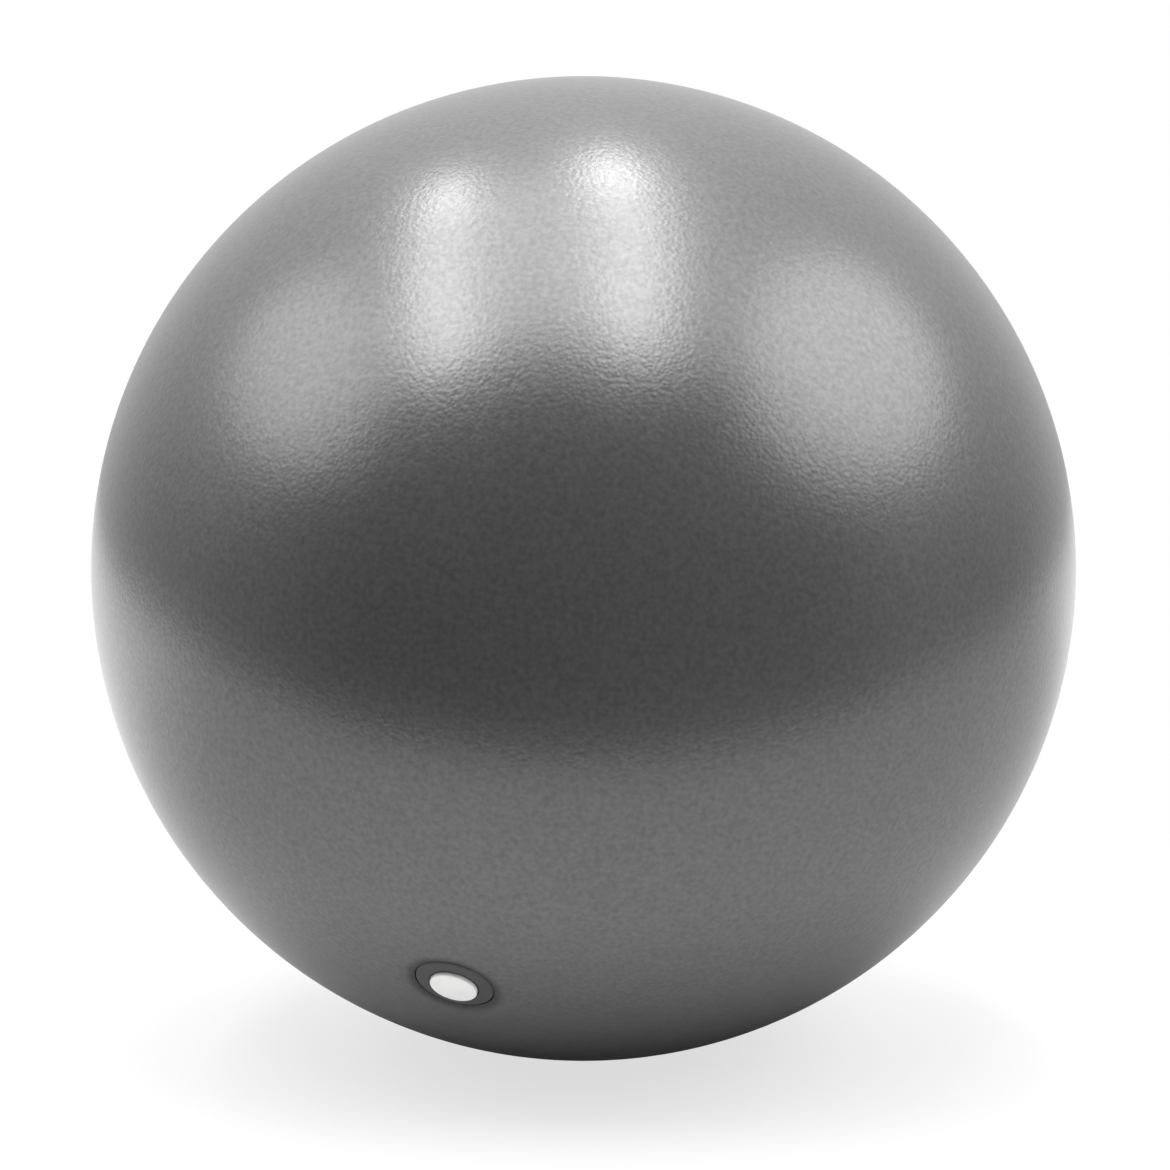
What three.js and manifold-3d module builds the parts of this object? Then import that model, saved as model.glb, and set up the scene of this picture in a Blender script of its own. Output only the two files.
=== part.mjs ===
// Soft pilates ball: an inflated vinyl skin, the valve seat fused into its wall, and the stopper that
// closes the valve.
// Millimetres, +Z up. The origin is the middle of the flat that the ball rests on, and the valve faces -Y.

import * as THREE from "three";
import { mergeVertices, toCreasedNormals } from "three/addons/utils/BufferGeometryUtils.js";
import Module from "manifold-3d";

// Ball skin
const BALL_DIAMETER = 250;
const SKIN_WALL = 0.8;
const REST_FLAT_DIAMETER = 32; // the soft ball settles on a flat of this size under its own weight
const REST_BLEND_RADIUS = 50; // the tighter curve by which the skin leaves the floor round that flat
const VALVE_DROP_DEGREES = 45; // how far the valve axis points below level
const SKIN_LIP_WIDTH = 6; // the skin dips in to the valve seat over this width
const SKIN_LIP_DEPTH = 1.2; // and by this much
const SKIN_LIP_TURN = 2; // from the dip's edge to where it turns down
const COLLAR_WALL = 1.4; // thickened skin round the valve seat's rim
const COLLAR_FLOOR = 1.6; // thickened skin behind the valve seat's flange
const COLLAR_SPREAD = 6; // length over which the collar thins out into the wall

// Valve seat
const SEAT_RING_WIDTH = 4; // ring of the seat that shows round the stopper's head
const SEAT_SINK = 0.5; // how far the seat's face lies below the ball's round
const SEAT_FLANGE_THICKNESS = 2.4;
const SEAT_EDGE_ROUND = 1.2;
const RECESS_EDGE_ROUND = 0.35;
const HEAD_RECESS_DEPTH = 0.6;
const BORE_MOUTH_DIAMETER = 6.6;
const BORE_END_DIAMETER = 5.8;
const BORE_MOUTH_CHAMFER = 0.5;
const NECK_WALL = 2.7;
const NECK_LENGTH = 20; // from the ball's surface to the neck's inner end
const NECK_END_ROUND = 1;

// Stopper
const HEAD_DIAMETER = 11.8;
const HEAD_RIM_THICKNESS = 1.2;
const HEAD_CROWN = 0.5; // how far the head's middle rises above its rim
const HEAD_EDGE_ROUND = 0.4;
const STEM_LENGTH = 17; // from the head's underside to the tip
const STEM_TIP_LENGTH = 4;
const STEM_TIP_DIAMETER = 3;
const RIB_COUNT = 3;
const RIB_WIDTH = 1.8;
const RIB_HEIGHT = 0.5;
const RIB_FIRST_DEPTH = 4; // from the head's underside to the middle of the first rib
const RIB_PITCH = 3.5;

// Fits
const SEAM_GAP = 0.3; // between pieces that touch on the real ball
const HEAD_CLEARANCE = 0.4; // round the head in its recess

// Facets
const BALL_SEGMENTS = 64;
const BALL_ARC_STEPS = 30;
const VALVE_SEGMENTS = 40;
const ROUND_STEPS = 3;
const CURVE_STEPS = 5;

// Colours and finish, as seen in soft light
const SKIN_FINISH = { color: 0x78787a, roughness: 0.32, metalness: 0.55 };
const SEAT_FINISH = { color: 0x464647, roughness: 0.45, metalness: 0 };
const STOPPER_FINISH = { color: 0xf2f2f1, roughness: 0.4, metalness: 0 };

const QUARTER_TURN = Math.PI / 2;
const ballRadius = BALL_DIAMETER / 2;
const restFlatRadius = REST_FLAT_DIAMETER / 2;
const centreHeight =
  REST_BLEND_RADIUS + Math.sqrt((ballRadius - REST_BLEND_RADIUS) ** 2 - restFlatRadius ** 2);

const headRadius = HEAD_DIAMETER / 2;
const recessRadius = headRadius + HEAD_CLEARANCE;
const flangeRadius = headRadius + SEAT_RING_WIDTH;
const neckRadius = BORE_MOUTH_DIAMETER / 2 + NECK_WALL;
const pocketRadius = flangeRadius + SEAM_GAP;
const neckHoleRadius = neckRadius + SEAM_GAP;

// Heights along the valve axis, from the ball's centre outwards.
const surfaceHeight = (radius, sphere = ballRadius) => Math.sqrt(sphere ** 2 - radius ** 2);
const seatHeight = (radius) => surfaceHeight(radius) - SEAT_SINK;
const flangeBack = seatHeight(flangeRadius) - SEAT_FLANGE_THICKNESS;
const pocketFloor = flangeBack - SEAM_GAP;
const collarFloor = pocketFloor - COLLAR_FLOOR;
const recessFloor = seatHeight(recessRadius) - HEAD_RECESS_DEPTH;
const neckEnd = ballRadius - NECK_LENGTH;
const headUnderside = recessFloor + SEAM_GAP;

// Radius of the tapered bore at a height along the valve axis.
function boreRadius(height) {
  const share = (recessFloor - height) / (recessFloor - neckEnd);
  return THREE.MathUtils.lerp(BORE_MOUTH_DIAMETER, BORE_END_DIAMETER, share) / 2;
}

const point = (radius, height) => new THREE.Vector2(radius, height);

// Points of an arc in a profile, both ends included. Angle 0 points away from the axis, and a quarter turn up it.
function arc(centre, radius, from, to, steps) {
  return Array.from({ length: steps + 1 }, (_, i) => {
    const angle = THREE.MathUtils.lerp(from, to, i / steps);
    return point(centre.x + radius * Math.cos(angle), centre.y + radius * Math.sin(angle));
  });
}

// A profile turned about the +Z axis. It runs upwards along the outside.
function revolve(profile, segments) {
  return new THREE.LatheGeometry(profile, segments).rotateX(QUARTER_TURN);
}

// The ball's outline, or one set in from it by a wall: a flat, the curve off the floor and the round above.
function ballProfile(inset) {
  const blendEnd = Math.asin(restFlatRadius / (ballRadius - REST_BLEND_RADIUS)) - QUARTER_TURN;
  const blendCentre = point(restFlatRadius, REST_BLEND_RADIUS);
  const blend = arc(blendCentre, REST_BLEND_RADIUS - inset, -QUARTER_TURN, blendEnd, ROUND_STEPS);
  const round = arc(point(0, centreHeight), ballRadius - inset, blendEnd, QUARTER_TURN, BALL_ARC_STEPS);
  const crown = point(0, centreHeight + ballRadius - inset);
  return [point(0, inset), ...blend, ...round.slice(1, -1), crown];
}

// Thickened skin behind the valve seat, before the pocket is cut. It fairs into the wall like poured vinyl.
function collarProfile() {
  const rim = pocketRadius + COLLAR_WALL;
  const base = rim + COLLAR_SPREAD;
  const wallHeight = surfaceHeight(base, ballRadius - SKIN_WALL);
  const fairing = new THREE.QuadraticBezierCurve(
    point(rim, collarFloor),
    point(rim, wallHeight),
    point(base, wallHeight),
  );
  return [point(0, collarFloor), ...fairing.getPoints(CURVE_STEPS), point(base, ballRadius), point(0, ballRadius)];
}

// What is cut from the skin for the valve seat: a pocket for its flange, with the skin dipping in to its edge,
// and a hole for its neck. The dip leaves the ball's round without a crease.
function pocketProfile() {
  const lipRadius = pocketRadius + SKIN_LIP_WIDTH;
  const lipTop = surfaceHeight(lipRadius);
  const lipSlope = lipRadius / lipTop;
  const edge = point(pocketRadius, lipTop + SKIN_LIP_WIDTH * lipSlope - SKIN_LIP_DEPTH);
  const turn = point(pocketRadius + SKIN_LIP_TURN, lipTop + (SKIN_LIP_WIDTH - SKIN_LIP_TURN) * lipSlope);
  const lip = new THREE.QuadraticBezierCurve(edge, turn, point(lipRadius, lipTop));
  return [
    point(0, 0),
    point(neckHoleRadius, 0),
    point(neckHoleRadius, pocketFloor),
    point(pocketRadius, pocketFloor),
    ...lip.getPoints(CURVE_STEPS),
    point(lipRadius, ballRadius + SKIN_LIP_DEPTH),
    point(0, ballRadius + SKIN_LIP_DEPTH),
  ];
}

// The valve seat: a flange curved like the ball, a recess for the stopper's head, and a neck with a tapered bore.
function seatProfile() {
  const rimTop = seatHeight(flangeRadius - SEAT_EDGE_ROUND);
  const rimCentre = point(flangeRadius - SEAT_EDGE_ROUND, rimTop - SEAT_EDGE_ROUND);
  const recessEdge = recessRadius + RECESS_EDGE_ROUND;
  const recessCentre = point(recessEdge, seatHeight(recessEdge) - RECESS_EDGE_ROUND);
  const neckCentre = point(neckRadius - NECK_END_ROUND, neckEnd + NECK_END_ROUND);
  const mouth = boreRadius(recessFloor - BORE_MOUTH_CHAMFER);
  const outline = [
    point(boreRadius(neckEnd), neckEnd),
    ...arc(neckCentre, NECK_END_ROUND, -QUARTER_TURN, 0, ROUND_STEPS),
    point(neckRadius, flangeBack),
    point(flangeRadius, flangeBack),
    ...arc(rimCentre, SEAT_EDGE_ROUND, 0, QUARTER_TURN, ROUND_STEPS),
    ...arc(recessCentre, RECESS_EDGE_ROUND, QUARTER_TURN, Math.PI, ROUND_STEPS),
    point(recessRadius, recessFloor),
    point(mouth + BORE_MOUTH_CHAMFER, recessFloor),
    point(mouth, recessFloor - BORE_MOUTH_CHAMFER),
  ];
  return [...outline, outline[0]];
}

// One sealing rib round the stopper's stem, as a half round that follows the bore's taper.
function ribProfile(index) {
  const middle = headUnderside - RIB_FIRST_DEPTH - index * RIB_PITCH;
  const top = boreRadius(middle) - SEAM_GAP;
  return Array.from({ length: CURVE_STEPS }, (_, i) => {
    const across = THREE.MathUtils.lerp(-1, 1, i / (CURVE_STEPS - 1));
    return point(top - RIB_HEIGHT * across ** 2, middle + (across * RIB_WIDTH) / 2);
  });
}

// The stopper, from the rounded tip of its stem, up over the ribs, to its crowned head.
function stopperProfile() {
  const tip = headUnderside - STEM_LENGTH;
  const tipRadius = STEM_TIP_DIAMETER / 2;
  const shoulder = tip + STEM_TIP_LENGTH;
  const stemRadius = (height) => boreRadius(height) - SEAM_GAP - RIB_HEIGHT;
  const ribs = Array.from({ length: RIB_COUNT }, (_, i) => ribProfile(RIB_COUNT - 1 - i)).flat();
  const rimTop = headUnderside + HEAD_RIM_THICKNESS;
  const lower = point(headRadius - HEAD_EDGE_ROUND, headUnderside + HEAD_EDGE_ROUND);
  const upper = point(headRadius - HEAD_EDGE_ROUND, rimTop - HEAD_EDGE_ROUND);
  const crown = new THREE.QuadraticBezierCurve(
    point(upper.x, rimTop),
    point(upper.x / 2, rimTop + HEAD_CROWN),
    point(0, rimTop + HEAD_CROWN),
  );
  return [
    point(0, tip),
    ...arc(point(0, tip + tipRadius), tipRadius, -QUARTER_TURN, 0, ROUND_STEPS).slice(1),
    point(stemRadius(shoulder), shoulder),
    ...ribs,
    point(stemRadius(headUnderside), headUnderside),
    ...arc(lower, HEAD_EDGE_ROUND, -QUARTER_TURN, 0, ROUND_STEPS),
    ...arc(upper, HEAD_EDGE_ROUND, 0, QUARTER_TURN, ROUND_STEPS).slice(0, -1),
    ...crown.getPoints(CURVE_STEPS),
  ];
}

const wasm = await Module();
wasm.setup();

// A closed geometry as a solid that can be joined and cut.
function solid(geometry, placement = new THREE.Matrix4()) {
  const bare = geometry.clone().applyMatrix4(placement);
  bare.deleteAttribute("normal");
  bare.deleteAttribute("uv");
  const merged = mergeVertices(bare);
  const mesh = new wasm.Mesh({
    numProp: 3,
    vertProperties: merged.attributes.position.array,
    triVerts: new Uint32Array(merged.index.array),
  });
  return new wasm.Manifold(mesh);
}

// A solid as a geometry again.
function geometryOf(cut) {
  const { vertProperties, triVerts } = cut.getMesh();
  const geometry = new THREE.BufferGeometry();
  geometry.setAttribute("position", new THREE.BufferAttribute(vertProperties, 3));
  geometry.setIndex(new THREE.BufferAttribute(triVerts, 1));
  return toCreasedNormals(geometry);
}

function piece(name, geometry, finish) {
  const mesh = new THREE.Mesh(geometry, new THREE.MeshStandardMaterial(finish));
  mesh.name = name;
  return mesh;
}

// The valve's own frame: its +Z is the valve axis, and it starts at the ball's centre.
const valve = new THREE.Group();
valve.position.set(0, 0, centreHeight);
valve.rotation.x = QUARTER_TURN + THREE.MathUtils.degToRad(VALVE_DROP_DEGREES);
valve.updateMatrix();

function skinGeometry() {
  const outside = solid(revolve(ballProfile(0), BALL_SEGMENTS));
  const inside = solid(revolve(ballProfile(SKIN_WALL), BALL_SEGMENTS));
  const collar = solid(revolve(collarProfile(), VALVE_SEGMENTS), valve.matrix);
  const pocket = solid(revolve(pocketProfile(), VALVE_SEGMENTS), valve.matrix);
  return geometryOf(outside.subtract(inside.subtract(collar)).subtract(pocket));
}

valve.add(piece("valve_seat", revolve(seatProfile(), VALVE_SEGMENTS), SEAT_FINISH));
valve.add(piece("stopper", revolve(stopperProfile(), VALVE_SEGMENTS), STOPPER_FINISH));

const ball = new THREE.Group();
ball.add(piece("ball_skin", skinGeometry(), SKIN_FINISH), valve);

export default ball;
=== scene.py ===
"""Dresses the pilates ball: its grained skin, the ring of its valve and its stopper, in a plain studio."""

import math

import bmesh
import bpy
from bpy.props import FloatProperty, FloatVectorProperty, IntProperty, PointerProperty
from mathutils import Matrix, Vector


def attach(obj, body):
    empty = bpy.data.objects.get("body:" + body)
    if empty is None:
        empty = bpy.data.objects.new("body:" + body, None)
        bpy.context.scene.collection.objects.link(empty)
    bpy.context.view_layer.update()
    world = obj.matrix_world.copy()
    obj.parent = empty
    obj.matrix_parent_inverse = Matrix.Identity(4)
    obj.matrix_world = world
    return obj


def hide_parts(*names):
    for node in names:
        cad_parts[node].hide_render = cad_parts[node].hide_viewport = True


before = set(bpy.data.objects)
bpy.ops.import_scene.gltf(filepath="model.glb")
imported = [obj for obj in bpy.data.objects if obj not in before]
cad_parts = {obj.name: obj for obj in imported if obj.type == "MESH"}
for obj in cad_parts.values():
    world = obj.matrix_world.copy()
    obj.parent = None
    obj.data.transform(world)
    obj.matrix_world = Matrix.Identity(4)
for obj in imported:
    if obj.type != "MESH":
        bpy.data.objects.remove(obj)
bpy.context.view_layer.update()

bl_info = {
    "name": "Pilates ball",
    "version": (1, 0, 0),
    "blender": (4, 5, 0),
    "location": "View3D > Sidebar > Pilates ball",
    "description": "Models a soft pilates ball with its valve and stopper, and sets it in a plain studio",
    "category": "Add Mesh",
}

# Bodies and nodes of the imported model
BALL_BODY = "ball"
STOPPER_BODY = "stopper"
SKIN_NODE = "ball_skin"
SEAT_NODE = "valve_seat"
STOPPER_NODE = "stopper"

# Fineness of the meshes
BALL_STEPS = 160
BALL_ARC_STEPS = 120
VALVE_STEPS = 96
LIP_STEPS = 10
ROUND_STEPS = 5
RIB_STEPS = 10
CROWN_STEPS = 8
TABLE_STEPS = 128
STARTER_SIZE = 0.001
MERGE_DISTANCE = 1e-6
RING_TOLERANCE = 1e-5
SMOOTH_ANGLE = math.radians(32)

FULL_TURN = 2 * math.pi
UPWARD = Vector((0, 0, 1))
ORIGIN = Vector((0, 0, 0))

# Character of the surfaces: heights in pebbles of the grain, and specks of dust in the cells that hold them
PLASTIC_IOR = 1.5
NOISE_MIDDLE = 0.5
RIPPLE_HEIGHT = 0.5
SWELL_HEIGHT = 1.5
DUST_CELLS_PER_METRE = 22
DUST_CORE = 0.008
DUST_EDGE = 0.016
MARK_START = 0.55
MARK_END = 0.75
BLACK = (0.0, 0.0, 0.0, 1.0)

# Where the room's glow lies: its lower and upper end and its side, as parts of a direction of length 1
GLOW_LOW = -0.2
GLOW_HIGH = 0.5
GLOW_SIDE = 0.4

# Where the photograph shows the ball, in pixels of a square image
IMAGE_SIDE = 1170
IMAGE_MIDDLE = IMAGE_SIDE / 2
OUTLINE_CENTRE = (583.6, 568.7)
OUTLINE_RADIUS = 492.5
STOPPER_FACE = (452.4, 990.6)
SENSOR_WIDTH_MM = 36

# The softboxes, by the highlights that they make on the ball: shape, far end, near end, width and radiance.
# An end is given by the pixel that mirrors it and by its distance from the ball's centre.
SOFTBOXES = {
    "bulb_right": ("RECTANGLE", ((608, 157), 1.5), ((613, 187), 1.4), 0.12, 17.0),
    "bulb_left": ("RECTANGLE", ((449, 182), 1.5), ((449, 211), 1.4), 0.12, 14.6),
    "strip_right": ("RECTANGLE", ((624, 178), 1.8), ((636, 362), 1.15), 0.26, 5.5),
    "strip_left": ("RECTANGLE", ((445, 205), 2.2), ((448, 376), 1.0), 0.22, 6.05),
    "ceiling": ("RECTANGLE", ((530, 183), 2.2), ((540, 346), 1.0), 0.5, 1.65),
    "side_left": ("ELLIPSE", ((276, 296), 1.7), ((354, 450), 1.15), 0.65, 1.9),
    "side_right": ("ELLIPSE", ((903, 303), 1.5), ((771, 441), 1.2), 0.84, 2.4),
}


def length(name, description, default):
    return FloatProperty(
        name=name, description=description, default=default, min=0, precision=5, unit="LENGTH"
    )


def share(name, description, default):
    return FloatProperty(
        name=name, description=description, default=default, min=0, max=1, subtype="FACTOR"
    )


def brightness(name, description, default):
    return FloatProperty(name=name, description=description, default=default, min=0)


def angle(name, description, degrees):
    return FloatProperty(
        name=name, description=description, default=math.radians(degrees), subtype="ANGLE"
    )


def colour(name, description, default):
    return FloatVectorProperty(
        name=name, description=description, default=default, min=0, max=1, size=3, subtype="COLOR"
    )


class PilatesBallSizes(bpy.types.PropertyGroup):
    """Sizes of the ball, its valve and its stopper."""

    ball_diameter: length("Ball diameter", "Across the inflated ball", 0.25)
    skin_wall: length("Skin wall", "Thickness of the vinyl skin", 0.0008)
    rest_flat: length("Rest flat", "Diameter of the flat on which the soft ball settles", 0.032)
    rest_blend: length("Rest blend", "Radius by which the skin leaves the floor round the flat", 0.05)
    valve_drop: angle("Valve drop", "How far the valve points below level", 45)
    lip_width: length("Lip width", "Width over which the skin dips in to the valve", 0.006)
    lip_depth: length("Lip depth", "How far the skin dips in at the valve", 0.0009)
    lip_turn: length("Lip turn", "From the dip's edge to where it turns down", 0.002)
    weld_gap: length("Weld gap", "Crease between the skin and the valve seat that is welded in", 0.00005)
    # Painted shade: width of a darker band of skin round the valve seat, standing in for the dip's shade
    painted_shade_width: length("Weld width", "Band round the valve seat that the weld has darkened", 0.0034)
    seam_gap: length("Seam gap", "Gap between pieces that touch", 0.0003)
    seat_sink: length("Seat sink", "How far the valve's face lies below the ball's round", 0.0005)
    ring_width: length("Ring width", "Ring of the valve seat that shows round the stopper", 0.004)
    flange_thickness: length("Flange thickness", "Thickness of the valve seat's rim", 0.0024)
    ring_round: length("Ring rounding", "Rounding of the ring's outer edge", 0.0009)
    recess_round: length("Recess rounding", "Rounding of the ring's inner edge", 0.00035)
    recess_depth: length("Recess depth", "Depth of the recess for the stopper's head", 0.0006)
    head_clearance: length("Head clearance", "Gap round the stopper's head", 0.00015)
    bore_mouth: length("Bore mouth", "Diameter of the bore under the head", 0.0066)
    bore_end: length("Bore end", "Diameter of the bore at the neck's end", 0.0058)
    bore_chamfer: length("Bore chamfer", "Chamfer at the bore's mouth", 0.0005)
    neck_wall: length("Neck wall", "Wall of the valve's neck", 0.0027)
    neck_length: length("Neck length", "From the ball's surface to the neck's inner end", 0.02)
    neck_round: length("Neck rounding", "Rounding of the neck's inner end", 0.001)
    head_diameter: length("Head diameter", "Across the stopper's head", 0.0118)
    head_rim: length("Head rim", "Thickness of the head at its rim", 0.0012)
    head_crown: length("Head crown", "How far the head's middle rises above its rim", 0.0005)
    head_round: length("Head rounding", "Rounding of the head's edges", 0.0004)
    stem_length: length("Stem length", "From the head's underside to the stem's tip", 0.017)
    tip_length: length("Tip length", "Tapered end of the stem", 0.004)
    tip_diameter: length("Tip diameter", "Across the rounded tip", 0.003)
    rib_count: IntProperty(name="Ribs", description="Sealing ribs on the stem", default=3, min=1)
    rib_width: length("Rib width", "Width of a rib along the stem", 0.0018)
    rib_height: length("Rib height", "How far a rib stands out of the stem", 0.0005)
    rib_start: length("Rib start", "From the head's underside to the first rib", 0.004)
    rib_pitch: length("Rib pitch", "From rib to rib", 0.0035)


class PilatesBallFinish(bpy.types.PropertyGroup):
    """Colours and surfaces of the ball, its valve and its stopper."""

    skin_colour: colour("Skin", "Pearl grey of the vinyl skin", (0.155, 0.155, 0.157))
    skin_pearl: share("Pearl", "How much of the skin's sheen comes from its pearl pigment", 0.7)
    skin_roughness: share("Skin roughness", "Satin gloss of the skin", 0.3)
    skin_patchiness: share("Skin patchiness", "How much the skin's gloss changes over it", 0.05)
    grain_size: length("Grain size", "Across one pebble of the skin's grain", 0.001)
    grain_depth: length("Grain depth", "Height of the pebbles", 0.000038)
    grain_softness: share("Grain softness", "How smoothly the pebbles run together", 0.6)
    ripple_size: length("Ripple size", "Across one ripple of the grain", 0.0015)
    swell_size: length("Swell size", "Across one slow swell of the skin", 0.02)
    fleck_size: length("Fleck size", "Across one fleck of the pearl pigment", 0.0013)
    fleck_strength: share("Fleck strength", "How much the flecks lighten and darken the skin", 0.33)
    patch_size: length("Patch size", "Across one patch of slightly other tone and gloss", 0.05)
    patch_share: share("Patch share", "Share of the skin's change of tone that is in patches", 0.15)
    dust_colour: colour("Dust", "Grey of the specks of dust", (0.5, 0.5, 0.5))
    dust_strength: share("Dust strength", "How much a speck of dust hides the skin", 0.4)
    # Painted shade: how much the band round the valve seat darkens the skin, standing in for the dip's shade
    painted_shade_strength: share("Weld strength", "How much the weld darkens the skin at the valve", 0.6)
    ring_colour: colour("Valve ring", "Darker grey of the valve seat", (0.05, 0.05, 0.051))
    ring_mottle: share("Ring mottle", "How much the ring's grey changes over it", 0.15)
    ring_roughness: share("Ring roughness", "Satin of the valve seat", 0.45)
    ring_patchiness: share("Ring patchiness", "How much the ring's satin changes over it", 0.12)
    ring_patch_size: length("Ring patch size", "Across one patch of the ring", 0.004)
    ring_grain_size: length("Ring grain size", "Across one grain of the ring's moulding", 0.0006)
    ring_grain_depth: length("Ring grain depth", "Height of that grain", 0.00002)
    stopper_colour: colour("Stopper", "White of the stopper", (0.95, 0.95, 0.94))
    stopper_roughness: share("Stopper roughness", "Satin of the stopper", 0.4)
    stopper_patchiness: share("Stopper patchiness", "How much its satin changes over it", 0.15)
    stopper_grain_size: length("Stopper grain size", "Across one grain of its moulding", 0.0009)
    stopper_grain_depth: length("Stopper grain depth", "Height of that grain", 0.00001)
    mark_size: length("Mark size", "Across one handling mark on the stopper", 0.003)
    mark_tone: share("Mark tone", "Brightness of a handling mark beside clean white", 0.95)


class PilatesBallStudio(bpy.types.PropertyGroup):
    """Camera distance, floor and light."""

    camera_distance: length("Camera distance", "From the camera to the ball's centre", 1.1)
    table_size: length("Table size", "Across the round white table", 1.65)
    table_gap: length("Table gap", "From the ball's flat down to the table", 0.0002)
    table_front: length("Table front", "From the ball to the table's front edge", 0.272)
    table_colour: colour("Table", "White of the table", (0.85, 0.85, 0.85))
    fade_start: length("Fade start", "Where the table's shade starts to give way to plain white", 0.15)
    fade_end: length("Fade end", "Where the table is plain white", 0.3)
    shadow: share("Shadow", "How much of the ball's shade on the table is seen", 0.3)
    mirror_start: length("Mirror start", "Where the mirrored shade starts to give way to white", 0.035)
    mirror_end: length("Mirror end", "Where the mirrored table is white", 0.13)
    mirror_shade: share("Mirrored shade", "Brightness of the mirrored table under the ball", 0.05)
    mirror_front: brightness("Mirrored front", "Brightness of the mirrored white before the ball", 1.0)
    mirror_back: brightness("Mirrored back", "Brightness of the mirrored white behind the ball", 1.8)
    mirror_depth: length("Mirror depth", "How far behind the ball the mirrored white is brightest", 0.4)
    mirror_turn: angle("Mirror turn", "How far left the brighter side of the mirrored white is turned", 20)
    shade_stretch: brightness("Shade stretch", "How much wider than deep the mirrored shade is", 1.12)
    shade_shift: length("Shade shift", "How far to the right of the ball its mirrored shade lies", 0.006)
    room_dark: share("Dark side", "Brightness of the room on the camera's side", 0.19)
    room_lean: share("Lean", "How much brighter the dark side is to the right than straight ahead", 0.08)
    room_walls: share("Walls", "How much brighter the dark side is towards either wall", 0.2)
    wall_start: share("Wall start", "How far round to the side the walls start", 0.65)
    room_horizon: brightness("Horizon", "Brightness of the white room at the height of the ball", 0.41)
    room_overhead: brightness("Overhead", "Brightness of the white room overhead", 1.74)
    room_backdrop: brightness("Backdrop", "Brightness that the room gains behind the ball", 0.25)
    room_glow: brightness("Glow", "Brightness that it gains further at the height of the ball", 0.3)
    room_tilt: angle("Room tilt", "How far the room's white side leans back from overhead", 50)
    room_softness: share("Room softness", "How gently the white side gives way to the dark one", 0.15)


class ValveAxis:
    """The line from the ball's centre out through the valve, and the sizes that are measured along it."""

    def __init__(self, sizes):
        self.sizes = sizes
        self.ball_radius = sizes.ball_diameter / 2
        flat = sizes.rest_flat / 2
        reach = self.ball_radius - sizes.rest_blend
        self.centre = Vector((0, 0, sizes.rest_blend + math.sqrt(reach**2 - flat**2)))
        self.along = Vector((0, -math.cos(sizes.valve_drop), -math.sin(sizes.valve_drop)))
        self.across = Vector((0, -math.sin(sizes.valve_drop), math.cos(sizes.valve_drop)))
        self.head_radius = sizes.head_diameter / 2
        self.recess_radius = self.head_radius + sizes.head_clearance
        self.flange_radius = self.head_radius + sizes.ring_width
        self.pocket_radius = self.flange_radius + sizes.weld_gap
        self.neck_radius = sizes.bore_mouth / 2 + sizes.neck_wall
        self.neck_end = self.ball_radius - sizes.neck_length
        self.flange_back = self.seat_height(self.flange_radius) - sizes.flange_thickness
        self.recess_floor = self.seat_height(self.recess_radius) - sizes.recess_depth
        self.head_underside = self.recess_floor + sizes.seam_gap

    def point(self, radius, height):
        """A point at that distance from the axis and that distance from the ball's centre along it."""
        return self.centre + self.across * radius + self.along * height

    def measure(self, point):
        """Distance of a point from the axis, and its height along it."""
        away = point - self.centre
        height = away.dot(self.along)
        return (away - self.along * height).length, height

    def surface_height(self, radius):
        return math.sqrt(self.ball_radius**2 - radius**2)

    def seat_height(self, radius):
        return self.surface_height(radius) - self.sizes.seat_sink

    def bore_radius(self, height):
        """The bore narrows evenly from its mouth to the neck's end."""
        depth = (self.recess_floor - height) / (self.recess_floor - self.neck_end)
        return (self.sizes.bore_mouth + (self.sizes.bore_end - self.sizes.bore_mouth) * depth) / 2


class View:
    """Where the camera stands, with ball and stopper on their pixels, and what the ball mirrors."""

    def __init__(self, axis, distance):
        sizes = axis.sizes
        self.centre = axis.centre
        self.radius = axis.ball_radius
        self.focal = OUTLINE_RADIUS * math.sqrt(distance**2 - self.radius**2) / self.radius
        face = axis.head_underside + sizes.head_rim + sizes.head_crown
        stopper_aside = STOPPER_FACE[0] - OUTLINE_CENTRE[0]
        stopper_above = OUTLINE_CENTRE[1] - STOPPER_FACE[1]
        ray = Vector((stopper_aside, stopper_above, -self.focal)).normalized()
        seen = meet_sphere(Vector((0, 0, distance)), ray, face, -1) / face
        level = math.cos(sizes.valve_drop)
        azimuth = math.asin(-seen.x / level)
        valve_angle = math.atan2(math.sin(sizes.valve_drop), level * math.cos(azimuth))
        elevation = math.atan2(-seen.y, seen.z) - valve_angle
        self.flat = Vector((math.sin(azimuth), -math.cos(azimuth), 0))
        self.towards = self.flat * math.cos(elevation) + UPWARD * math.sin(elevation)
        self.right = Vector((math.cos(azimuth), math.sin(azimuth), 0))
        self.up = self.towards.cross(self.right)
        self.place = self.centre + self.towards * distance
        frame_aside = IMAGE_MIDDLE - OUTLINE_CENTRE[0]
        frame_below = IMAGE_MIDDLE - OUTLINE_CENTRE[1]
        shift = self.right * frame_aside - self.up * frame_below
        aim = self.centre + shift * distance / self.focal - self.place
        self.turned = aim.to_track_quat("-Z", "Y").to_matrix()

    def mirrored(self, pixel, distance):
        """The place at that distance from the ball's centre that the ball mirrors at a pixel."""
        aside = pixel[0] - IMAGE_MIDDLE
        above = IMAGE_MIDDLE - pixel[1]
        ray = (self.turned @ Vector((aside, above, -self.focal))).normalized()
        hit = meet_sphere(self.place - self.centre, ray, self.radius, -1)
        bounce = ray.reflect(hit.normalized())
        return self.centre + meet_sphere(hit, bounce, distance, 1)


def meet_sphere(start, ray, radius, side):
    """Where a ray meets a sphere about the origin: side -1 is the near point and 1 the far one."""
    along = start.dot(ray)
    reach = math.sqrt(along**2 - start.length_squared + radius**2)
    return start + ray * (side * reach - along)


def spread(start, end, steps):
    """Evenly spaced numbers from start to end, both included."""
    return [start + (end - start) * i / steps for i in range(steps + 1)]


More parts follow.
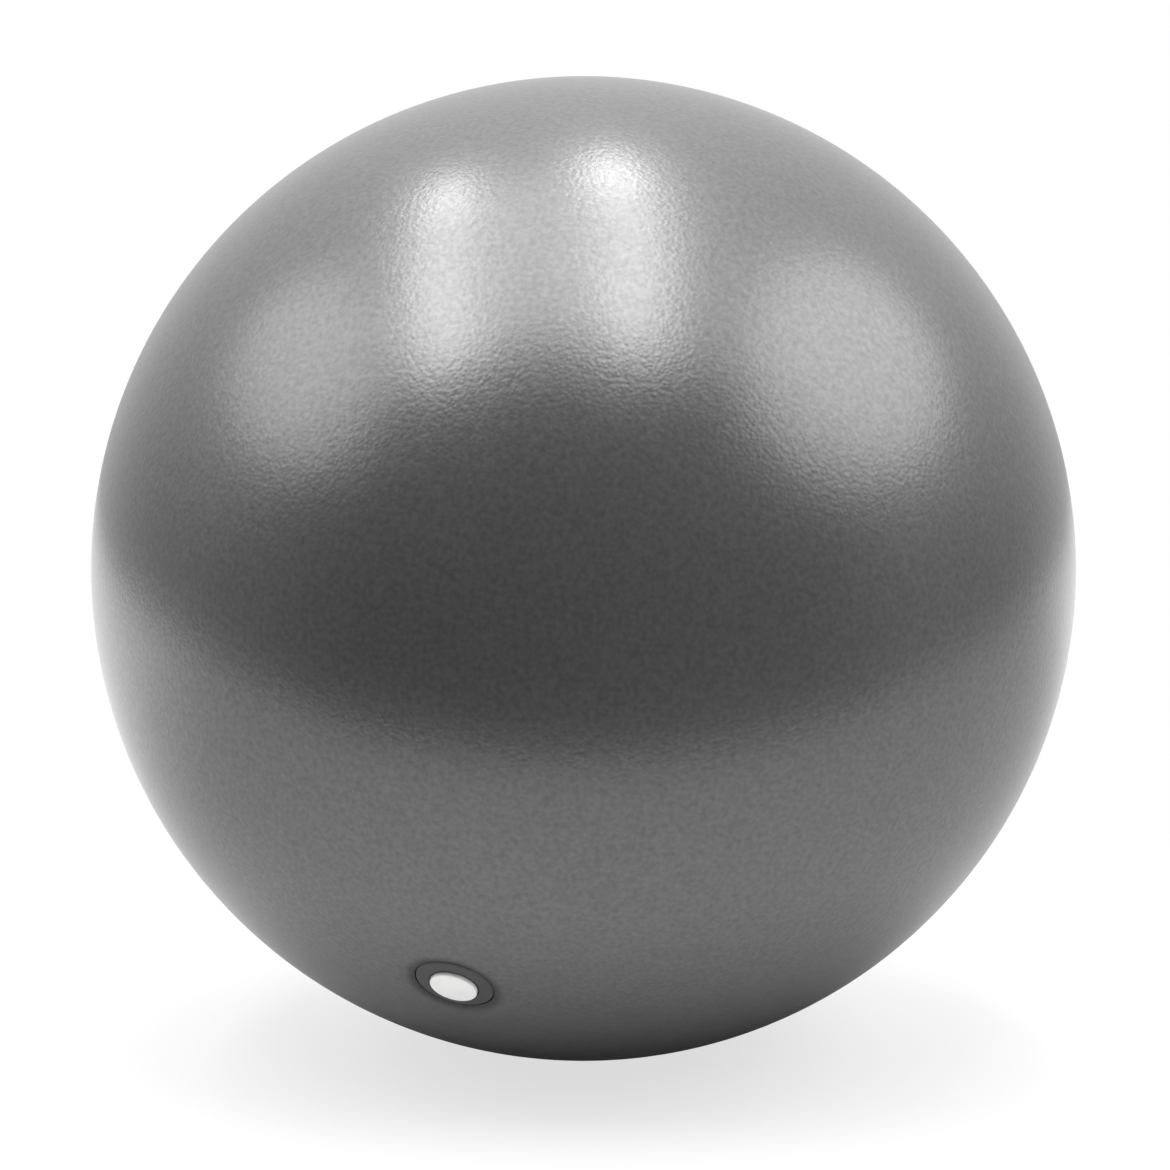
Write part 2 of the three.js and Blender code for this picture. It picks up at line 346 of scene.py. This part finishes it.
def curve_between(start, corner, end, steps):
    """Points of the smooth curve that leaves start towards corner and reaches end from it."""
    points = []
    for t in spread(0, 1, steps):
        weights = ((1 - t) ** 2, 2 * t * (1 - t), t**2)
        points.append(tuple(sum(w * p[i] for w, p in zip(weights, (start, corner, end))) for i in range(2)))
    return points


def draw_outline(name, axis, outline):
    """A new piece in edit mode, its outline drawn beside the valve axis by extruding from point to point."""
    bpy.ops.object.select_all(action="DESELECT")
    here = axis.point(*outline[0])
    bpy.ops.mesh.primitive_plane_add(size=STARTER_SIZE, location=here)
    piece = bpy.context.object
    piece.name = name
    piece.data.name = name
    bpy.ops.object.transform_apply(location=True, rotation=True, scale=True)
    bpy.ops.object.mode_set(mode="EDIT")
    bpy.ops.mesh.select_mode(type="VERT")
    bpy.ops.mesh.merge(type="CENTER")
    for radius, height in outline[1:]:
        there = axis.point(radius, height)
        bpy.ops.mesh.extrude_vertices_move(TRANSFORM_OT_translate={"value": there - here})
        here = there
    return piece


def turn(axis, steps):
    """Spins the drawn outline about the valve axis into a closed surface."""
    bpy.ops.mesh.select_all(action="SELECT")
    bpy.ops.mesh.spin(steps=steps, angle=FULL_TURN, center=axis.centre, axis=axis.along)
    bpy.ops.mesh.select_all(action="SELECT")
    bpy.ops.mesh.remove_doubles(threshold=MERGE_DISTANCE)
    bpy.ops.mesh.normals_make_consistent(inside=False)


def round_ring(piece, axis, radius, height, width):
    """Bevels the circle of edges at that radius and height on the valve axis."""
    bpy.ops.mesh.select_mode(type="EDGE")
    bpy.ops.mesh.select_all(action="DESELECT")
    mesh = bmesh.from_edit_mesh(piece.data)
    on_ring = {
        vertex
        for vertex in mesh.verts
        if math.dist(axis.measure(vertex.co), (radius, height)) < RING_TOLERANCE
    }
    ring = [edge for edge in mesh.edges if on_ring.issuperset(edge.verts)]
    if not ring:
        raise RuntimeError(f"{piece.name} has no edge ring at {radius:.5f}, {height:.5f}")
    for edge in ring:
        edge.select_set(True)
    bmesh.update_edit_mesh(piece.data)
    bpy.ops.mesh.bevel(offset=width, offset_type="OFFSET", segments=ROUND_STEPS, affect="EDGES")


def finish_piece(piece, material, body, node):
    """Ends edit mode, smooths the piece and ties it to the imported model."""
    bpy.ops.object.mode_set(mode="OBJECT")
    bpy.ops.object.shade_smooth_by_angle(angle=SMOOTH_ANGLE)
    piece.data.materials.clear()
    piece.data.materials.append(material)
    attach(piece, body)
    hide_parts(node)


class Signal:
    """An output socket of a shader, on which arithmetic adds Math nodes."""

    def __init__(self, shader, socket):
        self.shader = shader
        self.socket = socket

    def math(self, operation, first, second):
        return self.shader.node("ShaderNodeMath", {"operation": operation}, {0: first, 1: second})

    def __add__(self, other):
        return self.math("ADD", self, other)

    def __sub__(self, other):
        return self.math("SUBTRACT", self, other)

    def __rsub__(self, other):
        return self.math("SUBTRACT", other, self)

    def __mul__(self, other):
        return self.math("MULTIPLY", self, other)

    __radd__ = __add__
    __rmul__ = __mul__


class Shader:
    """The node tree of a material or world, built up one node at a time."""

    def __init__(self, owner):
        owner.use_nodes = True
        self.tree = owner.node_tree
        self.tree.nodes.clear()

    def node(self, kind, settings=None, inputs=None, output=0):
        """Adds a node, sets it up, fills its sockets with values or links, and returns an output."""
        node = self.tree.nodes.new(kind)
        for name, value in (settings or {}).items():
            setattr(node, name, value)
        for name, value in (inputs or {}).items():
            if isinstance(value, Signal):
                self.tree.links.new(value.socket, node.inputs[name])
            else:
                node.inputs[name].default_value = value
        return Signal(self, node.outputs[output]) if node.outputs else None

    def mix_colours(self, factor, first, second):
        """A colour between two others. These are the colour sockets of the Mix node."""
        return self.node("ShaderNodeMix", {"data_type": "RGBA"}, {0: factor, 6: first, 7: second}, 2)

    def blend(self, factor, first, second):
        """A number between two others."""
        return self.node("ShaderNodeMix", None, {0: factor, 2: first, 3: second})

    def step(self, value, low, high):
        """Rises smoothly from 0 to 1 as the value goes from low to high."""
        inputs = {"Value": value, "From Min": low, "From Max": high}
        return self.node("ShaderNodeMapRange", {"interpolation_type": "SMOOTHSTEP"}, inputs)

    def measure(self, operation, first, second):
        """A number worked out from two vectors."""
        return self.node("ShaderNodeVectorMath", {"operation": operation}, {0: first, 1: second}, "Value")

    def along(self, vector, direction):
        """How far a vector reaches in a direction."""
        return self.measure("DOT_PRODUCT", vector, direction)

    def distance(self, place, other):
        """How far apart two places are."""
        return self.measure("DISTANCE", place, other)

    def noise(self, place, size, detail=1.0):
        """Soft noise whose features are about that size, in metres."""
        inputs = {"Vector": place, "Scale": 1 / size, "Detail": detail}
        return self.node("ShaderNodeTexNoise", None, inputs, "Fac")

    def vary(self, middle, change, noise):
        """A number that noise moves about its middle."""
        return (noise - NOISE_MIDDLE) * change + middle

    def plastic(self, tone, roughness, height, depth, metallic=0.0):
        """The surface of a plastic piece: its colour, its gloss, and bumps of that depth."""
        bump = self.node("ShaderNodeBump", None, {"Distance": depth, "Height": height}, "Normal")
        inputs = {
            "Base Color": tone,
            "Metallic": metallic,
            "Roughness": roughness,
            "IOR": PLASTIC_IOR,
            "Normal": bump,
        }
        surface = self.node("ShaderNodeBsdfPrincipled", None, inputs)
        self.node("ShaderNodeOutputMaterial", None, {"Surface": surface})


def rgba(rgb, factor=1.0):
    return (*(channel * factor for channel in rgb), 1.0)


def skin_vinyl(finish, axis):
    """Pearl grey vinyl: pebbled grain, satin gloss, fine flecks, and painted shade round the valve."""
    material = bpy.data.materials.new("skin_vinyl")
    shader = Shader(material)
    place = shader.node("ShaderNodeTexCoord", output="Object")
    pebbles = shader.node(
        "ShaderNodeTexVoronoi",
        {"feature": "SMOOTH_F1"},
        {"Vector": place, "Scale": 1 / finish.grain_size, "Smoothness": finish.grain_softness},
        "Distance",
    )
    ripples = shader.noise(place, finish.ripple_size)
    swells = shader.noise(place, finish.swell_size)
    height = ripples * RIPPLE_HEIGHT - pebbles + swells * SWELL_HEIGHT
    flecks = shader.noise(place, finish.fleck_size)
    patches = shader.noise(place, finish.patch_size, detail=3.0)
    dark_tone = rgba(finish.skin_colour, 1 - finish.fleck_strength)
    pale_tone = rgba(finish.skin_colour, 1 + finish.fleck_strength)
    lightness = flecks * (1 - finish.patch_share) + patches * finish.patch_share
    flecked = shader.mix_colours(lightness, dark_tone, pale_tone)
    dust = dust_specks(shader, place) * finish.dust_strength
    dusty = shader.mix_colours(dust, flecked, rgba(finish.dust_colour))
    # Painted shade: the skin is darkened towards black in a band round the valve seat, for the shade of the
    # dip there
    from_valve = shader.distance(place, axis.point(0, axis.ball_radius))
    painted_shade_end = axis.pocket_radius + axis.sizes.painted_shade_width
    painted_shade = (1 - shader.step(from_valve, axis.pocket_radius, painted_shade_end)) * finish.painted_shade_strength
    tone = shader.mix_colours(painted_shade, dusty, BLACK)
    roughness = shader.vary(finish.skin_roughness, finish.skin_patchiness, patches)
    shader.plastic(tone, roughness, height, finish.grain_depth, finish.skin_pearl)
    return material


def dust_specks(shader, place):
    """1 on a few small specks and 0 elsewhere."""
    inputs = {"Vector": place, "Scale": DUST_CELLS_PER_METRE}
    from_speck = shader.node("ShaderNodeTexVoronoi", None, inputs, "Distance")
    return 1 - shader.step(from_speck, DUST_CORE, DUST_EDGE)


def valve_vinyl(finish):
    """Smoother, darker vinyl of the valve seat, with a faint moulded texture."""
    material = bpy.data.materials.new("valve_vinyl")
    shader = Shader(material)
    place = shader.node("ShaderNodeTexCoord", output="Object")
    moulding = shader.noise(place, finish.ring_grain_size, detail=3.0)
    patches = shader.noise(place, finish.ring_patch_size, detail=2.0)
    dark_tone = rgba(finish.ring_colour, 1 - finish.ring_mottle)
    pale_tone = rgba(finish.ring_colour, 1 + finish.ring_mottle)
    tone = shader.mix_colours(patches, dark_tone, pale_tone)
    roughness = shader.vary(finish.ring_roughness, finish.ring_patchiness, patches)
    shader.plastic(tone, roughness, moulding, finish.ring_grain_depth)
    return material


def stopper_plastic(finish):
    """White moulded plastic with a satin skin and faint handling marks."""
    material = bpy.data.materials.new("stopper_plastic")
    shader = Shader(material)
    place = shader.node("ShaderNodeTexCoord", output="Object")
    moulding = shader.noise(place, finish.stopper_grain_size, detail=2.0)
    marks = shader.noise(place, finish.mark_size, detail=4.0)
    clean = rgba(finish.stopper_colour)
    handled = rgba(finish.stopper_colour, finish.mark_tone)
    tone = shader.mix_colours(shader.step(marks, MARK_START, MARK_END), clean, handled)
    roughness = shader.vary(finish.stopper_roughness, finish.stopper_patchiness, marks)
    shader.plastic(tone, roughness, moulding, finish.stopper_grain_depth)
    return material


def table_white(studio, view):
    """White paper that shows the camera a light shadow of the ball, and the ball a white with its shade."""
    material = bpy.data.materials.new("table_white")
    shader = Shader(material)
    place = shader.node("ShaderNodeTexCoord", output="Object")
    seen = shader.node("ShaderNodeLightPath", output="Is Camera Ray")
    mirrored = shader.node("ShaderNodeLightPath", output="Is Glossy Ray")
    through = shader.node("ShaderNodeLightPath", output="Is Transmission Ray")
    faded = shader.step(shader.distance(place, ORIGIN), studio.fade_start, studio.fade_end)
    plain_seen = shader.blend(faded, 1 - studio.shadow, 1.0) * seen
    dim_side = view.flat * math.cos(studio.mirror_turn) + view.right * math.sin(studio.mirror_turn)
    front = shader.step(shader.along(place, dim_side), -studio.mirror_depth, 0)
    open_white = shader.blend(front, studio.mirror_back, studio.mirror_front)
    sideways = (shader.along(place, view.right) - studio.shade_shift) * (1 / studio.shade_stretch)
    forward = shader.along(place, view.flat)
    oval = shader.node("ShaderNodeCombineXYZ", None, {"X": sideways, "Y": forward})
    clear = shader.step(shader.distance(oval, ORIGIN), studio.mirror_start, studio.mirror_end)
    reflected = open_white * shader.blend(clear, studio.mirror_shade, 1.0)
    level = shader.blend(seen, reflected, 1.0)
    paper = shader.node("ShaderNodeBsdfDiffuse", None, {"Color": rgba(studio.table_colour)})
    white = shader.node("ShaderNodeEmission", None, {"Color": level, "Strength": 1.0})
    plain = plain_seen + mirrored + through
    surface = shader.node("ShaderNodeMixShader", None, {0: plain, 1: paper, 2: white})
    shader.node("ShaderNodeOutputMaterial", None, {"Surface": surface})
    return material


class PILATESBALL_OT_skin(bpy.types.Operator):
    """Models the inflated skin, with its flat on the floor and its dip at the valve"""

    bl_idname = "pilates_ball.skin"
    bl_label = "Ball skin"

    def execute(self, context):
        sizes = context.scene.pilates_ball_sizes
        axis = ValveAxis(sizes)
        pocket_floor = axis.flange_back - sizes.seam_gap
        lip_radius = axis.pocket_radius + sizes.lip_width
        lip_top = axis.surface_height(lip_radius)
        slope = lip_radius / lip_top
        edge = (axis.pocket_radius, lip_top + sizes.lip_width * slope - sizes.lip_depth)
        bend = (axis.pocket_radius + sizes.lip_turn, lip_top + (sizes.lip_width - sizes.lip_turn) * slope)
        outline = [
            (axis.neck_radius + sizes.seam_gap, pocket_floor),
            (axis.pocket_radius, pocket_floor),
            *curve_between(edge, bend, (lip_radius, lip_top), LIP_STEPS),
        ]
        piece = draw_outline("skin", axis, outline)
        round_angle = math.pi - math.asin(lip_radius / axis.ball_radius)
        bpy.ops.mesh.spin(steps=BALL_ARC_STEPS, angle=round_angle, center=axis.centre, axis=(1, 0, 0))
        turn(axis, BALL_STEPS)
        self.settle(piece, sizes)
        bpy.ops.object.mode_set(mode="OBJECT")
        wall = piece.modifiers.new("wall", "SOLIDIFY")
        wall.thickness = sizes.skin_wall
        wall.offset = -1
        bpy.ops.object.modifier_apply(modifier=wall.name)
        material = skin_vinyl(context.scene.pilates_ball_finish, axis)
        finish_piece(piece, material, BALL_BODY, SKIN_NODE)
        return {"FINISHED"}

    def settle(self, piece, sizes):
        """Lets the underside down on the floor: a flat, and the tighter curve round it."""
        flat = sizes.rest_flat / 2
        blend_reach = flat * sizes.ball_diameter / (sizes.ball_diameter - 2 * sizes.rest_blend)
        mesh = bmesh.from_edit_mesh(piece.data)
        for vertex in mesh.verts:
            reach = math.hypot(vertex.co.x, vertex.co.y)
            if vertex.co.z < sizes.rest_blend and reach < blend_reach:
                rise = max(reach - flat, 0)
                vertex.co.z = sizes.rest_blend - math.sqrt(sizes.rest_blend**2 - rise**2)
        bmesh.update_edit_mesh(piece.data)


class PILATESBALL_OT_valve_seat(bpy.types.Operator):
    """Models the valve seat: its ring, the recess for the stopper's head, and the neck with its bore"""

    bl_idname = "pilates_ball.valve_seat"
    bl_label = "Valve seat"

    def execute(self, context):
        sizes = context.scene.pilates_ball_sizes
        axis = ValveAxis(sizes)
        ring_edge = (axis.flange_radius, axis.seat_height(axis.flange_radius))
        recess_edge = (axis.recess_radius, axis.seat_height(axis.recess_radius))
        neck_edge = (axis.neck_radius, axis.neck_end)
        mouth = axis.bore_radius(axis.recess_floor - sizes.bore_chamfer)
        outline = [
            (axis.bore_radius(axis.neck_end), axis.neck_end),
            neck_edge,
            (axis.neck_radius, axis.flange_back),
            (axis.flange_radius, axis.flange_back),
            ring_edge,
            recess_edge,
            (axis.recess_radius, axis.recess_floor),
            (mouth + sizes.bore_chamfer, axis.recess_floor),
            (mouth, axis.recess_floor - sizes.bore_chamfer),
        ]
        piece = draw_outline("valve_ring", axis, [*outline, outline[0]])
        turn(axis, VALVE_STEPS)
        round_ring(piece, axis, *ring_edge, sizes.ring_round)
        round_ring(piece, axis, *recess_edge, sizes.recess_round)
        round_ring(piece, axis, *neck_edge, sizes.neck_round)
        material = valve_vinyl(context.scene.pilates_ball_finish)
        finish_piece(piece, material, BALL_BODY, SEAT_NODE)
        return {"FINISHED"}


class PILATESBALL_OT_stopper(bpy.types.Operator):
    """Models the push-in stopper: a crowned head on a ribbed, tapered stem"""

    bl_idname = "pilates_ball.stopper"
    bl_label = "Stopper"

    def execute(self, context):
        sizes = context.scene.pilates_ball_sizes
        axis = ValveAxis(sizes)
        tip = axis.head_underside - sizes.stem_length
        shoulder = tip + sizes.tip_length
        lower_edge = (axis.head_radius, axis.head_underside)
        upper_edge = (axis.head_radius, axis.head_underside + sizes.head_rim)
        slack = sizes.seam_gap + sizes.rib_height
        ribs = [point for i in reversed(range(sizes.rib_count)) for point in self.rib(axis, i)]
        outline = [
            *self.tip_round(tip, sizes.tip_diameter / 2),
            (axis.bore_radius(shoulder) - slack, shoulder),
            *ribs,
            (axis.bore_radius(axis.head_underside) - slack, axis.head_underside),
            lower_edge,
            *self.crown(*upper_edge, sizes.head_crown),
        ]
        piece = draw_outline("stopper_plug", axis, outline)
        turn(axis, VALVE_STEPS)
        round_ring(piece, axis, *lower_edge, sizes.head_round)
        round_ring(piece, axis, *upper_edge, sizes.head_round)
        material = stopper_plastic(context.scene.pilates_ball_finish)
        finish_piece(piece, material, STOPPER_BODY, STOPPER_NODE)
        return {"FINISHED"}

    def tip_round(self, tip, radius):
        """The rounded end of the stem, from the axis out."""
        angles = spread(0, math.pi / 2, ROUND_STEPS)
        return [(radius * math.sin(a), tip + radius * (1 - math.cos(a))) for a in angles]

    def rib(self, axis, index):
        """One sealing rib, a half round that follows the bore's taper."""
        sizes = axis.sizes
        middle = axis.head_underside - sizes.rib_start - index * sizes.rib_pitch
        top = axis.bore_radius(middle) - sizes.seam_gap
        return [
            (top - sizes.rib_height * across**2, middle + across * sizes.rib_width / 2)
            for across in spread(-1, 1, RIB_STEPS)
        ]

    def crown(self, radius, height, rise):
        """The head's crowned top, from its rim in to the axis."""
        return [(radius * (1 - t), height + rise * t * (2 - t)) for t in spread(0, 1, CROWN_STEPS)]


class PILATESBALL_OT_stage(bpy.types.Operator):
    """Sets the camera, the lamps, the white room and the table"""

    bl_idname = "pilates_ball.stage"
    bl_label = "Stage"

    def execute(self, context):
        scene = context.scene
        studio = scene.pilates_ball_studio
        view = View(ValveAxis(scene.pilates_ball_sizes), studio.camera_distance)
        scene.view_settings.view_transform = "Standard"
        self.add_camera(scene, view)
        for name, softbox in SOFTBOXES.items():
            self.add_softbox(scene, view, name, *softbox)
        self.add_room(scene, view, studio)
        self.add_table(view, studio)
        return {"FINISHED"}

    def add_camera(self, scene, view):
        camera = bpy.data.cameras.new("camera")
        camera.sensor_width = SENSOR_WIDTH_MM
        camera.lens = SENSOR_WIDTH_MM * view.focal / IMAGE_SIDE
        holder = bpy.data.objects.new("camera", camera)
        holder.matrix_world = Matrix.Translation(view.place) @ view.turned.to_4x4()
        scene.collection.objects.link(holder)
        scene.camera = holder

    def add_softbox(self, scene, view, name, shape, far, near, width, radiance):
        """A softbox whose two ends the ball mirrors at their pixels, turned to face the ball."""
        far_end = view.mirrored(*far)
        near_end = view.mirrored(*near)
        middle = (far_end + near_end) / 2
        long_side = (far_end - near_end).normalized()
        short_side = long_side.cross(middle - view.centre).normalized()
        lamp = bpy.data.lights.new(name, "AREA")
        lamp.shape = shape
        lamp.size = width
        lamp.size_y = (far_end - near_end).length
        fill = math.pi / 4 if shape == "ELLIPSE" else 1
        lamp.energy = radiance * math.pi * fill * lamp.size * lamp.size_y
        holder = bpy.data.objects.new(name, lamp)
        turned = Matrix((short_side, long_side, short_side.cross(long_side))).transposed().to_4x4()
        holder.matrix_world = Matrix.Translation(middle) @ turned
        scene.collection.objects.link(holder)

    def add_room(self, scene, view, studio):
        """White for the camera. For the light it is white overhead and behind, and dark before the ball."""
        scene.world = bpy.data.worlds.new("room")
        shader = Shader(scene.world)
        direction = shader.node("ShaderNodeTexCoord", output="Generated")
        white_side = view.up * math.cos(studio.room_tilt) - view.towards * math.sin(studio.room_tilt)
        facing = shader.along(direction, white_side)
        bright = shader.step(facing, -studio.room_softness, studio.room_softness)
        rise = shader.along(direction, UPWARD)
        white = shader.blend(rise, studio.room_horizon, studio.room_overhead)
        behind = shader.along(direction, -view.towards)
        backdrop = behind * shader.step(behind, 0, 1) * studio.room_backdrop
        level_with_ball = shader.step(rise, GLOW_LOW, 0) * (1 - shader.step(rise, 0, GLOW_HIGH))
        glow = shader.step(behind, GLOW_SIDE, 1) * level_with_ball * studio.room_glow
        sideways = shader.along(direction, view.right)
        walls = shader.step(sideways * sideways, studio.wall_start, 1) * studio.room_walls
        dark = sideways * studio.room_lean + walls + studio.room_dark
        level = shader.blend(bright, dark, white + backdrop + glow)
        seen = shader.node("ShaderNodeLightPath", output="Is Camera Ray")
        strength = seen + (1 - seen) * level
        surface = shader.node("ShaderNodeBackground", None, {"Color": strength, "Strength": 1.0})
        shader.node("ShaderNodeOutputWorld", None, {"Surface": surface})

    def add_table(self, view, studio):
        """A round white table that ends just before the ball."""
        bpy.ops.object.select_all(action="DESELECT")
        radius = studio.table_size / 2
        middle = view.flat * (studio.table_front - radius) - UPWARD * studio.table_gap
        bpy.ops.mesh.primitive_circle_add(
            vertices=TABLE_STEPS, radius=radius, fill_type="NGON", location=middle
        )
        table = bpy.context.object
        table.name = "table"
        bpy.ops.object.transform_apply(location=True, rotation=True, scale=True)
        table.data.materials.append(table_white(studio, view))


class PILATESBALL_PT_panel(bpy.types.Panel):
    """Lists the pieces, their sizes and their finish."""

    bl_label = "Pilates ball"
    bl_idname = "PILATESBALL_PT_panel"
    bl_space_type = "VIEW_3D"
    bl_region_type = "UI"
    bl_category = "Pilates ball"

    def draw(self, context):
        for operator in OPERATORS:
            self.layout.operator(operator.bl_idname)
        for group in SETTINGS:
            settings = getattr(context.scene, group)
            for name in settings.bl_rna.properties.keys():
                if name not in ("rna_type", "name"):
                    self.layout.prop(settings, name)


OPERATORS = (PILATESBALL_OT_skin, PILATESBALL_OT_valve_seat, PILATESBALL_OT_stopper, PILATESBALL_OT_stage)
SETTINGS = {
    "pilates_ball_sizes": PilatesBallSizes,
    "pilates_ball_finish": PilatesBallFinish,
    "pilates_ball_studio": PilatesBallStudio,
}


def register():
    for group in (*SETTINGS.values(), *OPERATORS, PILATESBALL_PT_panel):
        bpy.utils.register_class(group)
    for name, group in SETTINGS.items():
        setattr(bpy.types.Scene, name, PointerProperty(type=group))


def unregister():
    for name in SETTINGS:
        delattr(bpy.types.Scene, name)
    for group in (PILATESBALL_PT_panel, *reversed(OPERATORS), *SETTINGS.values()):
        bpy.utils.unregister_class(group)


def main():
    register()
    bpy.ops.pilates_ball.skin()
    bpy.ops.pilates_ball.valve_seat()
    bpy.ops.pilates_ball.stopper()
    bpy.ops.pilates_ball.stage()


if __name__ == "__main__":
    main()
